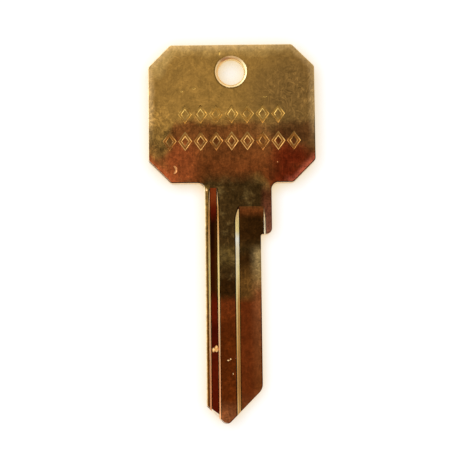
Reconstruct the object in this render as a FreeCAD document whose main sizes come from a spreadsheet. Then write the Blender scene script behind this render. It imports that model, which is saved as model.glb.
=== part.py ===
# Uncut key blank, punched from one strip of brass and milled along the blade.
# It lies on its back: the back face is at Z = 0 and the front face looks up +Z.
# The bow points to +Y, the tip to -Y and the bitting edge to +X.
# The origin is under the middle of the whole outline, on the back face.

import FreeCAD, Part
import Sketcher
import math
import os
import re

NODE = "key_blank"

# Driving dimensions, in millimetres and degrees.
SIZES = {
    # Strip that the blank is punched from, and the rounding that tumbling gives its outline.
    "thickness": 2.0,
    "edge_round": 0.15,
    # Bow: a square plate with four clipped corners.
    "bow_width": 25.4,
    "bow_height": 21.2,
    "bow_corner_clip": 3.4,
    "bow_corner_round": 0.7,
    # Ring hole, measured from the top edge of the bow to its centre.
    "ring_hole_diameter": 4.0,
    "ring_hole_inset": 4.2,
    "ring_hole_edge_round": 0.5,
    # Blade, centred under the bow, and the shoulder that stops it in the lock.
    "blade_width": 8.5,
    "blade_length": 28.4,
    "neck_round": 1.05,
    "shoulder_projection": 1.7,
    "shoulder_drop": 7.85,
    "shoulder_round": 0.9,
    "shoulder_root_round": 0.3,
    # Tip: two bevels that meet in a small round, nearer to the spine than to the bitting edge.
    "tip_offset": 1.2,
    "tip_bevel_angle": 45.0,
    "tip_round": 0.9,
    "bitting_corner_round": 1.8,
    "spine_corner_round": 0.5,
    # Narrow front groove beside the spine. Angles are those of the walls, from the upright.
    "narrow_groove_from_spine": 0.79,
    "narrow_groove_floor": 1.12,
    "narrow_groove_depth": 0.7,
    "narrow_groove_spine_angle": 20.0,
    "narrow_groove_land_angle": 20.0,
    "narrow_groove_start": 0.8,
    "narrow_groove_cutter_radius": 25.0,
    # Wide front step, open along the bitting edge and walled in by the shoulder.
    "wide_step_from_spine": 5.19,
    "wide_step_past_bitting_edge": 0.48,
    "wide_step_depth": 0.7,
    "wide_step_land_angle": 40.0,
    "wide_step_shoulder_angle": 23.0,
    "wide_step_start": 3.66,
    "wide_step_cutter_radius": 4.5,
    # Back groove, cut opposite the land that stands between the two front cuts.
    "back_groove_from_spine": 2.7,
    "back_groove_floor": 1.4,
    "back_groove_depth": 0.75,
    "back_groove_wall_angle": 20.0,
    "back_groove_start": 0.8,
    "back_groove_cutter_radius": 25.0,
    # How far a cutter's section stands proud of the face that it cuts.
    "cutter_proud": 0.5,
}

# Sizes that follow from the driving ones.
FORMULAS = {
    "overall_length": "bow_height + shoulder_drop + blade_length",
    "bow_top": "overall_length / 2",
    "bow_base": "bow_top - bow_height",
    "stop_station": "bow_base - shoulder_drop",
    "tip_station": "stop_station - blade_length",
    "spine": "-blade_width / 2",
    "bitting_edge": "blade_width / 2",
    "shoulder_edge": "bitting_edge + shoulder_projection",
    "ring_hole_station": "bow_top - ring_hole_inset",
    "wide_step_floor": "blade_width - wide_step_from_spine + wide_step_past_bitting_edge",
}


def make_sheet(doc):
    """The spreadsheet that holds every size under its own name."""
    sheet = doc.addObject("Spreadsheet::Sheet", "Sizes")
    cells = {name: str(value) for name, value in SIZES.items()}
    cells.update({name: "=" + formula for name, formula in FORMULAS.items()})
    for row, (name, content) in enumerate(cells.items(), start=1):
        sheet.set(f"A{row}", name)
        sheet.set(f"B{row}", content)
        sheet.setAlias(f"B{row}", name)
    doc.recompute()
    return sheet


def in_sheet(expression):
    """The expression with each size's name written as a cell of the sheet."""
    return re.sub("[a-z_]+", lambda word: cell(word[0]), expression)


def cell(word):
    """A size's name as the sheet knows it; any other word as it is."""
    return f"Sizes.{word}" if word in SIZES or word in FORMULAS else word


def plane(body, role):
    """One of the body's own origin planes."""
    return next(item for item in body.Origin.OriginFeatures if item.Role == role)


def new_sketch(body, name, role):
    """An empty sketch on one of the body's origin planes."""
    sketch = body.newObject("Sketcher::SketchObject", name)
    sketch.AttachmentSupport = [(plane(body, role), "")]
    sketch.MapMode = "FlatFace"
    return sketch


def bind(sketch, name, expression, *constraint):
    """Adds a constraint with a name and ties its value to the sheet."""
    index = sketch.addConstraint(Sketcher.Constraint(*constraint))
    sketch.renameConstraint(index, name)
    sketch.setExpression("Constraints." + name, in_sheet(expression))


def closed_outline(sketch, corners):
    """Straight lines through the corners, each joined to the next and the last to the first."""
    count = len(corners)
    for start, end in zip(corners, corners[1:] + corners[:1]):
        line = Part.LineSegment(FreeCAD.Vector(*start, 0), FreeCAD.Vector(*end, 0))
        sketch.addGeometry(line)
    for index in range(count):
        sketch.addConstraint(Sketcher.Constraint("Coincident", index, 2, (index + 1) % count, 1))


def pad(body, sketch, name):
    """Raises a sketch from the back face to the front face."""
    feature = body.newObject("PartDesign::Pad", name)
    feature.Profile = sketch
    feature.setExpression("Length", in_sheet("thickness"))
    sketch.Visibility = False
    body.Document.recompute()
    return feature


def upright_edges(shape, places):
    """Names of the edges that stand along Z at the given places in the outline."""
    names = []
    for number, edge in enumerate(shape.Edges, start=1):
        box = edge.BoundBox
        stands = box.ZLength > 10 * max(box.XLength, box.YLength)
        if stands and any(math.dist((box.XMin, box.YMin), place) < 0.01 for place in places):
            names.append(f"Edge{number}")
    if len(names) != len(places):
        raise RuntimeError(f"{len(names)} of {len(places)} upright edges found")
    return names


def edges_in_faces(shape, thickness, centre=None, radius=None):
    """Names of the edges in the front and back faces: the whole outline, or one hole's rims."""
    names = []
    for number, edge in enumerate(shape.Edges, start=1):
        box = edge.BoundBox
        flat = box.ZLength < 0.001 and min(abs(box.ZMin), abs(box.ZMin - thickness)) < 0.001
        rim = centre is None or math.dist((box.Center.x, box.Center.y), centre) < radius
        if flat and rim:
            names.append(f"Edge{number}")
    return names


def fillet(body, name, edges, radius):
    """Rounds the named edges of what the body holds so far."""
    base = body.Tip
    feature = body.newObject("PartDesign::Fillet", name)
    feature.Base = (base, edges)
    feature.setExpression("Radius", in_sheet(radius))
    body.Document.recompute()
    return feature


def bow(body, size):
    """The bow's plate with its clipped corners."""
    half, clip = size("bow_width") / 2, size("bow_corner_clip")
    top, base = size("bow_top"), size("bow_base")
    corners = [
        (clip - half, top), (half - clip, top), (half, top - clip), (half, base + clip),
        (half - clip, base), (clip - half, base), (-half, base + clip), (-half, top - clip),
    ]
    sketch = new_sketch(body, "bow_outline", "XY_Plane")
    closed_outline(sketch, corners)
    for line, direction in ((0, "Horizontal"), (2, "Vertical"), (4, "Horizontal"), (6, "Vertical")):
        sketch.addConstraint(Sketcher.Constraint(direction, line))
    signs = {1: (1, -1), 3: (-1, -1), 5: (-1, 1), 7: (1, 1)}
    for line, (across, along) in signs.items():
        bind(sketch, f"clip_across_{line}", f"{across} * bow_corner_clip",
             "DistanceX", line, 1, line, 2, across * clip)
        bind(sketch, f"clip_along_{line}", f"{along} * bow_corner_clip",
             "DistanceY", line, 1, line, 2, along * clip)
    bind(sketch, "right_side", "bow_width / 2", "DistanceX", -1, 1, 2, 1, half)
    bind(sketch, "left_side", "-bow_width / 2", "DistanceX", -1, 1, 6, 1, -half)
    bind(sketch, "top_edge", "bow_top", "DistanceY", -1, 1, 0, 1, top)
    bind(sketch, "base_edge", "bow_base", "DistanceY", -1, 1, 4, 1, base)
    pad(body, sketch, "bow_plate")
    fillet(body, "bow_corners", upright_edges(body.Shape, corners), "bow_corner_round")


def blade(body, size):
    """The shoulder, the blade and its bevelled tip, raised from one outline under the bow."""
    spine, bitting, shoulder = size("spine"), size("bitting_edge"), size("shoulder_edge")
    base, stop, tip = size("bow_base"), size("stop_station"), size("tip_station")
    rooted = base + size("bow_corner_clip")
    offset, radius = size("tip_offset"), size("tip_round")
    angle = math.radians(size("tip_bevel_angle"))

    # The bevels leave the tip's round where they touch it.
    centre = (-offset, tip + radius)
    reach, rise = radius * math.cos(angle), radius * math.sin(angle)
    touch_bitting = (centre[0] + reach, centre[1] - rise)
    touch_spine = (centre[0] - reach, centre[1] - rise)
    bitting_corner = (bitting, touch_bitting[1] + (bitting - touch_bitting[0]) / math.tan(angle))
    spine_corner = (spine, touch_spine[1] + (touch_spine[0] - spine) / math.tan(angle))

    sketch = new_sketch(body, "blade_outline", "XY_Plane")
    path = [
        touch_bitting, bitting_corner, (bitting, stop), (shoulder, stop),
        (shoulder, rooted), (spine, rooted), spine_corner, touch_spine,
    ]
    for start, end in zip(path, path[1:]):
        line = Part.LineSegment(FreeCAD.Vector(*start, 0), FreeCAD.Vector(*end, 0))
        sketch.addGeometry(line)
    bitting_bevel, bitting_side, stop_face, shoulder_side, root, spine_side, spine_bevel = range(7)
    circle = Part.Circle(FreeCAD.Vector(*centre, 0), FreeCAD.Vector(0, 0, 1), radius)
    tip_arc = sketch.addGeometry(Part.ArcOfCircle(circle, math.pi + angle, 2 * math.pi - angle))

    for line in range(6):
        sketch.addConstraint(Sketcher.Constraint("Coincident", line, 2, line + 1, 1))
    for line in (bitting_side, shoulder_side, spine_side):
        sketch.addConstraint(Sketcher.Constraint("Vertical", line))
    for line in (stop_face, root):
        sketch.addConstraint(Sketcher.Constraint("Horizontal", line))
    sketch.addConstraint(Sketcher.Constraint("Tangent", spine_bevel, 2, tip_arc, 1))
    sketch.addConstraint(Sketcher.Constraint("Tangent", tip_arc, 2, bitting_bevel, 1))
    bind(sketch, "tip_radius", "tip_round", "Radius", tip_arc, radius)
    bind(sketch, "tip_across", "-tip_offset", "DistanceX", -1, 1, tip_arc, 3, centre[0])
    bind(sketch, "tip_along", "tip_station + tip_round", "DistanceY", -1, 1, tip_arc, 3, centre[1])
    bind(sketch, "bitting_bevel_lean", "90 - tip_bevel_angle",
         "Angle", bitting_bevel, math.pi / 2 - angle)
    bind(sketch, "spine_bevel_lean", "tip_bevel_angle - 90",
         "Angle", spine_bevel, angle - math.pi / 2)
    bind(sketch, "spine_across", "spine", "DistanceX", -1, 1, spine_side, 1, spine)
    bind(sketch, "bitting_across", "bitting_edge", "DistanceX", -1, 1, bitting_side, 1, bitting)
    bind(sketch, "shoulder_across", "shoulder_edge",
         "DistanceX", -1, 1, shoulder_side, 1, shoulder)
    bind(sketch, "stop_along", "stop_station", "DistanceY", -1, 1, stop_face, 1, stop)
    bind(sketch, "root_along", "bow_base + bow_corner_clip", "DistanceY", -1, 1, root, 1, rooted)
    pad(body, sketch, "blade_plate")

    neck = [(spine, base), (shoulder, base)]
    fillet(body, "neck_corners", upright_edges(body.Shape, neck), "neck_round")
    rounds = {
        "shoulder_corner": ((shoulder, stop), "shoulder_round"),
        "shoulder_root": ((bitting, stop), "shoulder_root_round"),
        "bitting_corner": (bitting_corner, "bitting_corner_round"),
        "spine_corner": (spine_corner, "spine_corner_round"),
    }
    for name, (place, radius_name) in rounds.items():
        fillet(body, name, upright_edges(body.Shape, [place]), radius_name)


def soften_outline(body, size):
    """The light rounding all along the outline, on the front and on the back."""
    edges = edges_in_faces(body.Shape, size("thickness"))
    fillet(body, "outline_edges", edges, "edge_round")


def ring_hole(body, size):
    """The hole for a key ring, with its two rims rounded."""
    station, diameter = size("ring_hole_station"), size("ring_hole_diameter")
    sketch = new_sketch(body, "ring_hole_outline", "XY_Plane")
    middle = FreeCAD.Vector(0, station, 0)
    sketch.addGeometry(Part.Circle(middle, FreeCAD.Vector(0, 0, 1), diameter / 2))
    sketch.addConstraint(Sketcher.Constraint("PointOnObject", 0, 3, -2))
    bind(sketch, "hole_along", "ring_hole_station", "DistanceY", -1, 1, 0, 3, station)
    bind(sketch, "hole_diameter", "ring_hole_diameter", "Diameter", 0, diameter)
    pocket = body.newObject("PartDesign::Pocket", "ring_hole")
    pocket.Profile = sketch
    pocket.Type = "ThroughAll"
    pocket.Midplane = True
    sketch.Visibility = False
    body.Document.recompute()
    rims = edges_in_faces(body.Shape, size("thickness"), (0, station), diameter)
    fillet(body, "ring_hole_rims", rims, "ring_hole_edge_round")


def milled_cut(body, size, name, floor, near_angle, far_angle, front):
    """One milled cut: straight along the blade to the tip, and run out towards the bow.

    The section is drawn about the cutter's axis, which lies across the blade. Swept along the
    blade it cuts the straight part, and turned about the axis it leaves the cutter's own curve.
    """
    near = f"{name}_from_spine"
    depth, radius, start = f"{name}_depth", f"{name}_cutter_radius", f"{name}_start"
    side = 1 if front else -1
    tall = size(depth) + size("cutter_proud")
    floor_near = size("spine") + size(near)
    floor_far = floor_near + size(floor)
    at_floor, at_top = -side * size(radius), side * (tall - size(radius))
    near_run = tall * math.tan(math.radians(size(near_angle)))
    far_run = tall * math.tan(math.radians(size(far_angle)))

    sketch = new_sketch(body, f"{name}_section", "XZ_Plane")
    closed_outline(sketch, [
        (floor_near, at_floor), (floor_far, at_floor),
        (floor_far + far_run, at_top), (floor_near - near_run, at_top),
    ])
    floor_line, far_wall, top_line, near_wall = range(4)
    for line in (floor_line, top_line):
        sketch.addConstraint(Sketcher.Constraint("Horizontal", line))
    proud = f"({depth} + cutter_proud)"
    bind(sketch, "near_side", f"spine + {near}",
         "DistanceX", -1, 1, floor_line, 1, floor_near)
    bind(sketch, "floor_width", floor,
         "DistanceX", floor_line, 1, floor_line, 2, floor_far - floor_near)
    bind(sketch, "floor_height", f"{-side} * {radius}",
         "DistanceY", -1, 1, floor_line, 1, at_floor)
    bind(sketch, "section_height", f"{side} * {proud}",
         "DistanceY", floor_line, 1, near_wall, 1, side * tall)
    bind(sketch, "near_wall_run", f"{proud} * tan({near_angle} * 1 deg)",
         "DistanceX", near_wall, 1, near_wall, 2, near_run)
    bind(sketch, "far_wall_run", f"{proud} * tan({far_angle} * 1 deg)",
         "DistanceX", far_wall, 1, far_wall, 2, far_run)

    # The cutter's axis stands one radius off the floor, where the cut first reaches full depth.
    face = "thickness" if front else "0"
    run_out = f"sqrt(2 * {radius} * {depth} - {depth} ^ 2)"
    sketch.setExpression(".AttachmentOffset.Base.y",
                         in_sheet(f"{face} + {side} * ({radius} - {depth})"))
    sketch.setExpression(".AttachmentOffset.Base.z",
                         in_sheet(f"{start} + {run_out} - bow_base"))
    sketch.Visibility = False

    straight = body.newObject("PartDesign::Pocket", f"{name}_straight")
    straight.Profile = sketch
    straight.Type = "ThroughAll"
    straight.Reversed = True
    check_cut(body, straight)

    curve = body.newObject("PartDesign::Groove", f"{name}_run_out")
    curve.Profile = sketch
    curve.ReferenceAxis = (sketch, ["H_Axis"])
    curve.setExpression("Angle", in_sheet(f"2 * acos(1 - {depth} / {radius})"))
    curve.Reversed = not front
    check_cut(body, curve)


def check_cut(body, cut):
    """Stops the build if a cut has taken nothing away."""
    before = cut.BaseFeature.Shape.Volume
    body.Document.recompute()
    if not cut.Shape.Volume < before:
        raise RuntimeError(f"{cut.Name} cuts nothing")


def export(doc, body):
    """Writes the part once every step of it is sound."""
    failed = [item.Name for item in doc.Objects if {"Invalid", "Error"} & set(item.State)]
    if failed:
        raise RuntimeError(f"failed steps: {failed}")
    shape = body.Shape
    if shape.isNull() or not shape.isValid() or len(shape.Solids) != 1:
        raise RuntimeError(f"{body.Label} is not one sound solid")
    os.makedirs("parts", exist_ok=True)
    shape.exportStep(f"parts/{body.Label}.step")
    box = shape.optimalBoundingBox()
    print(f"{body.Label}: {box.XLength:.3f} x {box.YLength:.3f} x {box.ZLength:.3f} mm,"
          f" {shape.Volume:.2f} mm3, {len(shape.Faces)} faces")


def main():
    doc = FreeCAD.newDocument("key_blank_model")
    sheet = make_sheet(doc)
    body = doc.addObject("PartDesign::Body", NODE)
    body.Label = NODE

    def size(name):
        return float(sheet.get(name))

    bow(body, size)
    blade(body, size)
    soften_outline(body, size)
    ring_hole(body, size)
    milled_cut(body, size, "narrow_groove", "narrow_groove_floor",
               "narrow_groove_spine_angle", "narrow_groove_land_angle", front=True)
    milled_cut(body, size, "wide_step", "wide_step_floor",
               "wide_step_land_angle", "wide_step_shoulder_angle", front=True)
    milled_cut(body, size, "back_groove", "back_groove_floor",
               "back_groove_wall_angle", "back_groove_wall_angle", front=False)
    doc.recompute()
    export(doc, body)


main()
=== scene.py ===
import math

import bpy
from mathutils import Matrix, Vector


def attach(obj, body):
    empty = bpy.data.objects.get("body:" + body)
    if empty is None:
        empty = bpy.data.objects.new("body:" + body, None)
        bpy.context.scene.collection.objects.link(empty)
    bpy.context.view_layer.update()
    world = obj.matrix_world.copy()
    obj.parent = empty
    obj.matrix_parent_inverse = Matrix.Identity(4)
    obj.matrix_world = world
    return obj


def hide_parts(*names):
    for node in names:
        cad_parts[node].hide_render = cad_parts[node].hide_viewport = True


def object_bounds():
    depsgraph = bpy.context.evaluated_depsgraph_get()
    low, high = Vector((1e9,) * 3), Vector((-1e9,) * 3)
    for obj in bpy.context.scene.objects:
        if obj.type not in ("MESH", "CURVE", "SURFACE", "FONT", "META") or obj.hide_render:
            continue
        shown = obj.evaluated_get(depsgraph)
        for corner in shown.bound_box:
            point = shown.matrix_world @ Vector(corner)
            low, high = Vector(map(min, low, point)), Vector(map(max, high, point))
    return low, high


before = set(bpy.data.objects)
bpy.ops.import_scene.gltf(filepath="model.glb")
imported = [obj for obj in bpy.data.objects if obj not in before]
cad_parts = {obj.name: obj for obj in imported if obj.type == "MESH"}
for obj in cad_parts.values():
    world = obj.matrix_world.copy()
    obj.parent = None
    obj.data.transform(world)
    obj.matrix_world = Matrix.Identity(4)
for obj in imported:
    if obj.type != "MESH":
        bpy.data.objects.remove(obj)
cad_low, cad_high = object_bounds()

# An uncut key blank of tumbled, tarnished brass, lying on its back on a pale table.
# Sizes and places are in millimetres. X runs from the spine to the bitting edge, with 0 in the
# middle of the bow. Y runs from the tip to the bow, with 0 halfway. Z is the height off the table.

MM = 0.001
TIP = cad_low.y / MM
BOW_TOP = cad_high.y / MM
BOW_HALF_WIDTH = cad_high.x / MM
FACE = cad_high.z / MM
BOW_HEIGHT = 21.2
BOW_BASE = BOW_TOP - BOW_HEIGHT
BOW_CLIP = 3.4
SPINE = -4.25
BITTING_EDGE = 4.25

# The milled cuts: where the floor starts and ends, how deep it lies, how far its two walls lean
# from upright in degrees, where the cut starts, the radius of the cutter that ran out there, and
# the width of the grime along each wall.
NARROW_GROOVE = {"floor": (-3.46, -2.34), "deep": 0.7, "walls": (20, 20), "start": 6.725, "radius": 25.0,
                 "grime": (0.15, 0.15)}
WIDE_STEP = {"floor": (0.94, 4.73), "deep": 0.7, "walls": (40, 23), "start": 3.865, "radius": 4.5,
             "grime": (0.15, 0.05)}
BACK_GROOVE = {"floor": (-1.55, -0.15), "deep": 0.75, "walls": (20, 20), "start": 6.725, "radius": 25.0,
               "grime": (0.15, 0.15)}

# The ring hole, with its rounded rim, and the bevel of the tip on the spine side.
HOLE_ALONG = BOW_TOP - 4.2
HOLE_RIM_RADIUS = 2.5
RIM_REACH = HOLE_RIM_RADIUS + 0.05
SPINE_BEVEL = TIP - 1.572

# How far from the key the table takes a warm tint, a painted contact shade.
HALO_REACH = 2.3

# The struck ornament on the bow, two rows of lozenges: each row's middle and its count, and the
# distance between two lozenges. A lozenge's stroke is a flattened bar, whose middle lies a little
# above the face.
LOZENGE_ROWS = ((18.02, 7), (13.88, 9))
LOZENGE_PITCH = 2.36
LOZENGE_RADIUS = 0.78
LOZENGE_TALLER = 1.38
STROKE_RADIUS = 0.29
STROKE_FLATTER = 0.5
STROKE_LIFT = 0.01

# Where dents are looked for: on the bow inside its rounded outline, on the land between the front
# cuts as far as the tip, and at the top of the lip beside the narrow groove.
EDGE_KEPT = 0.4
LAND = (-1.95, 0.2)
TIP_KEPT = 2.0
LIP = (SPINE + 0.16, SPINE + 0.5)
LIP_FROM = 5.5
DENT_DEPTHS = (0.002, 0.3)

# The crumbs in the narrow groove: each one's place with its height over the groove's floor, and its
# radius across, along and up. Then the part of the groove where they lie: across, along and up.
CRUMBS = (
    ((-3.12, -17.75, 0.0), (0.2, 0.36, 0.16)),
    ((-2.66, -17.55, 0.04), (0.3, 0.52, 0.24)),
)
AROUND_CRUMBS = ((-3.44, -2.34), (-18.4, -16.8), (FACE - 0.695, FACE - 0.05))

# The curved dent: its middle, the radius of the rim that struck it, the rim's thickness and tilt.
CRESCENT = (-9.08, 9.55, FACE + 0.3)
CRESCENT_RADIUS = 0.62
CRESCENT_ROUND = 0.25
CRESCENT_TILT = 13

# Small dents struck into the face by other keys: place and radius across, along and down.
DENTS = (
    ((6.9, 10.6), (0.1, 0.09, 0.03)),
    ((-1.75, 27.4), (0.13, 0.34, 0.05)),
    ((-5.7, 22.0), (0.26, 0.2, 0.025)),
    ((-7.55, 21.55), (0.14, 0.2, 0.03)),
    ((-9.9, 9.2), (0.07, 0.06, 0.03)),
    ((5.1, 20.6), (0.28, 0.12, 0.025)),
    ((-3.93, 6.45), (0.14, 0.22, 0.05)),
    ((-0.9, -19.3), (0.17, 0.1, 0.03)),
    ((-0.56, -19.1), (0.09, 0.13, 0.03)),
    ((0.3, -18.8), (0.1, 0.24, 0.05)),
    ((-0.2, -21.3), (0.05, 0.12, 0.02)),
)

# How faces are told apart, by the height of their normal: one that is quite flat, a level face, a
# cut's floor with its run-out, an upright side, a dent's steepest flank and a crumb's steepest top.
FLAT = 0.9999
LEVEL = 0.995
ON_FLOOR = 0.84
UPRIGHT = 0.05
IN_DENT = 0.2
ON_CRUMB = 0.5

# Where the cuts lie across the key, the line between the two front ones, and the heights of the
# front cuts and of the back one. A wall turns along the key by less than WALL_TURN, and a crumb's
# end by more than CRUMB_TURN. A face of the key is found within NEAR_FACE.
CUTS = (SPINE + 0.4, 5.1)
BETWEEN_CUTS = 0.6
FRONT_CUTS_FROM = 1.2
BACK_CUT = (0.05, 0.9)
WALL_TURN = 0.3
CRUMB_TURN = 0.2
NEAR_FACE = 0.01

# The mesh: points nearer than this are one, faces level with each other within this many degrees
# are one, and edges that bend less than this many degrees are shaded smooth.
WELD = 0.001
LEVEL_WITHIN = 0.01
SMOOTH_BELOW = 24

# The finishes of the cuts' floors, which rise to the face in the cutter's curve.
RUN_OUTS = ("step floor", "groove floor", "back floor")

# The milled walls are scratched rough, so that they also show pale at a steep slope; their pale tints are
# partly a painted reflection of the pale room.
METAL_OF_WALLS = 0.05

# The metal's tints, as seen. Rubbed bare metal, painted highlight and painted reflection, from white to
# ochre:
WHITE_HIGHLIGHT = (255, 252, 236)
CREAM = (255, 238, 198)
STRAW = (255, 228, 152)
PEACH = (252, 212, 160)
APRICOT = (252, 182, 122)
HONEY = (236, 186, 116)
AMBER = (228, 172, 88)
OCHRE = (204, 146, 68)
DARK_OCHRE = (172, 116, 50)
# Brass, from pale to dull:
PALE_BRASS = (214, 176, 118)
BRIGHT_GOLD = (190, 150, 80)
LIGHT_GOLD = (176, 140, 78)
GOLD = (148, 110, 51)
BRONZE = (132, 98, 46)
DULL_BRASS = (146, 120, 76)
TAN = (134, 104, 60)
OLIVE = (88, 68, 31)
# Tarnish, from copper through brown and red to black:
COPPER = (137, 78, 42)
BRICK = (136, 64, 30)
SADDLE = (121, 68, 35)
RUST = (120, 50, 18)
ROSE_BROWN = (134, 81, 58)
ROSEWOOD = (104, 57, 37)
LEATHER = (112, 66, 29)
RUSSET = (108, 56, 22)
NUT_BROWN = (114, 62, 14)
BARK = (94, 62, 25)
RED_BROWN = (98, 42, 13)
CHESTNUT = (91, 38, 8)
OXBLOOD = (88, 22, 6)
DEEP_RED = (73, 16, 4)
PLUM = (76, 39, 20)
UMBER = (61, 42, 17)
PITCH = (50, 28, 7)
MAROON = (52, 18, 3)
BLACK_RED = (34, 12, 2)
SOOT = (13, 5, 1)


# Shader helpers

def tone(tint):
    """A tint given as seen, in 0 to 255, made a colour for a shader's socket."""
    linear = [((part / 255 + 0.055) / 1.055) ** 2.4 if part > 10 else part / 3294.6 for part in tint]
    return (*linear, 1.0)


def give(tree, socket, value):
    """Links a socket to an output, or sets it to a plain value."""
    if isinstance(value, bpy.types.NodeSocket):
        tree.links.new(value, socket)
    elif value is not None:
        socket.default_value = value


def add(tree, kind, *values, **settings):
    """A shader node with its settings, and a value or a link for each input in order."""
    node = tree.nodes.new("ShaderNode" + kind)
    for name, value in settings.items():
        setattr(node, name, value)
    for socket, value in zip(node.inputs, values):
        give(tree, socket, value)
    return node


def maths(tree, operation, *values):
    return add(tree, "Math", *values, operation=operation).outputs[0]


def plus(tree, first, second):
    return maths(tree, "ADD", first, second)


def minus(tree, first, second):
    return maths(tree, "SUBTRACT", first, second)


def apart(tree, first, second):
    """How far apart two values are."""
    return maths(tree, "ABSOLUTE", minus(tree, first, second))


def highest(tree, *values):
    """The greatest of several values."""
    result = values[0]
    for value in values[1:]:
        result = maths(tree, "MAXIMUM", result, value)
    return result


def times(tree, *values):
    """The product of several values."""
    result = values[0]
    for value in values[1:]:
        result = maths(tree, "MULTIPLY", result, value)
    return result


def span(tree, value, low, high, to_low=0.0, to_high=1.0):
    """A value brought smoothly from one range to another, and held at its ends."""
    node = add(tree, "MapRange", interpolation_type="SMOOTHSTEP")
    for name, given in (("Value", value), ("From Min", low), ("From Max", high),
                        ("To Min", to_low), ("To Max", to_high)):
        give(tree, node.inputs[name], given)
    return node.outputs["Result"]


def blend(tree, share, first, second):
    """Two colours mixed by a share from 0 to 1."""
    node = add(tree, "Mix", data_type="RGBA", blend_type="MIX")
    for name, given in (("Factor_Float", share), ("A_Color", first), ("B_Color", second)):
        give(tree, next(socket for socket in node.inputs if socket.identifier == name), given)
    return next(socket for socket in node.outputs if socket.identifier == "Result_Color")


def tinted(tree, share, colour, tint):
    """A colour with a tint laid over it by a share from 0 to 1."""
    return blend(tree, share, colour, tone(tint))


def noise(tree, place, scale, detail=2.0, rough=0.5, seed=0.0):
    """Cloudy noise about 0.5, with its scale in grains per millimetre."""
    node = add(tree, "TexNoise", noise_dimensions="4D")
    for name, given in (("Vector", place), ("W", seed), ("Scale", scale), ("Detail", detail),
                        ("Roughness", rough)):
        give(tree, node.inputs[name], given)
    return node.outputs["Fac"]


def new_group(name, inputs, outputs):
    """A shader node group with named sockets."""
    group = bpy.data.node_groups.new(name, "ShaderNodeTree")
    for label, kind in inputs.items():
        group.interface.new_socket(label, in_out="INPUT", socket_type="NodeSocket" + kind)
    for label, kind in outputs.items():
        group.interface.new_socket(label, in_out="OUTPUT", socket_type="NodeSocket" + kind)
    return group, group.nodes.new("NodeGroupInput"), group.nodes.new("NodeGroupOutput")


def use(tree, group, **values):
    """Places a group in a material or in another group, with its inputs by name."""
    node = tree.nodes.new("ShaderNodeGroup")
    node.node_tree = group
    for name, value in values.items():
        give(tree, node.inputs[name.replace("_", " ")], value)
    return node.outputs


def millimetres(tree):
    """The place on the key in millimetres: whole, across, along and up."""
    place = add(tree, "TexCoord").outputs["Object"]
    scaled = add(tree, "VectorMath", place, operation="SCALE")
    scaled.inputs["Scale"].default_value = 1 / MM
    parts = add(tree, "SeparateXYZ", scaled.outputs["Vector"]).outputs
    return scaled.outputs["Vector"], parts[0], parts[1], parts[2]


def ramp(tree, along, stops):
    """Tints that follow each other at the given places along the key, from the bow to the tip."""
    length = BOW_TOP - TIP
    share = maths(tree, "DIVIDE", minus(tree, along, TIP), length)
    node = add(tree, "ValToRGB", share)
    elements = node.color_ramp.elements
    while len(elements) < len(stops):
        elements.new(0.5)
    for element, (place, tint) in zip(elements, sorted(stops)):
        element.position = (place - TIP) / length
        element.color = tone(tint)
    return node.outputs["Color"]


def patch(tree, across, along, centre, size):
    """A soft oval, 1 in its middle and 0 at its edge."""
    right = maths(tree, "DIVIDE", minus(tree, across, centre[0]), size[0])
    up = maths(tree, "DIVIDE", minus(tree, along, centre[1]), size[1])
    away = plus(tree, times(tree, right, right), times(tree, up, up))
    return span(tree, away, 0.0, 1.0, 1.0, 0.0)


# Effects that several finishes share, each a node group

# The layers of tumbling marks: the grain of two bright layers and two dark ones, across and along
# the marks in grains per millimetre, and how far each layer is shifted from the one before.
MARK_GRAINS = ((0.6, 3.4, 1.0), (0.6, 3.4, 1.0), (0.55, 4.2, 1.0), (0.55, 4.2, 1.0))
MARK_SHIFT = (31.7, 17.3)
MARK_AREAS = 0.55
MARK_BEND = (1.1, 1.1, 0.0)
MARK_BEND_SCALE = 0.9


def tumbling_marks():
    """Short fine scratches, each small area with a direction of its own, bright and dark ones."""
    group, _, out = new_group("Tumbling marks", {}, {"Bright": "Float", "Dark": "Float"})
    place = millimetres(group)[0]
    bent = add(group, "TexNoise", place, noise_dimensions="3D")
    bent.inputs["Scale"].default_value = MARK_BEND_SCALE
    shifted = add(group, "VectorMath", bent.outputs["Color"], MARK_BEND, place, operation="MULTIPLY_ADD")
    layers = []
    for seed, size in enumerate(MARK_GRAINS):
        shift = (seed * MARK_SHIFT[0], seed * MARK_SHIFT[1], 0.0)
        moved = add(group, "VectorMath", shifted.outputs[0], shift, operation="ADD")
        cells = add(group, "TexVoronoi", moved.outputs[0], voronoi_dimensions="2D")
        cells.inputs["Scale"].default_value = MARK_AREAS
        angle = times(group, add(group, "SeparateColor", cells.outputs["Color"]).outputs[0], math.pi)
        turned = add(group, "VectorRotate", moved.outputs[0], rotation_type="Z_AXIS")
        give(group, turned.inputs["Angle"], angle)
        fine = add(group, "VectorMath", turned.outputs[0], size, operation="MULTIPLY")
        layers.append(span(group, noise(group, fine.outputs[0], 1.0, 1.0, 0.5, seed=seed), 0.53, 0.68))
    give(group, out.inputs["Bright"], highest(group, layers[0], layers[1]))
    give(group, out.inputs["Dark"], highest(group, layers[2], layers[3]))
    return group


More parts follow.
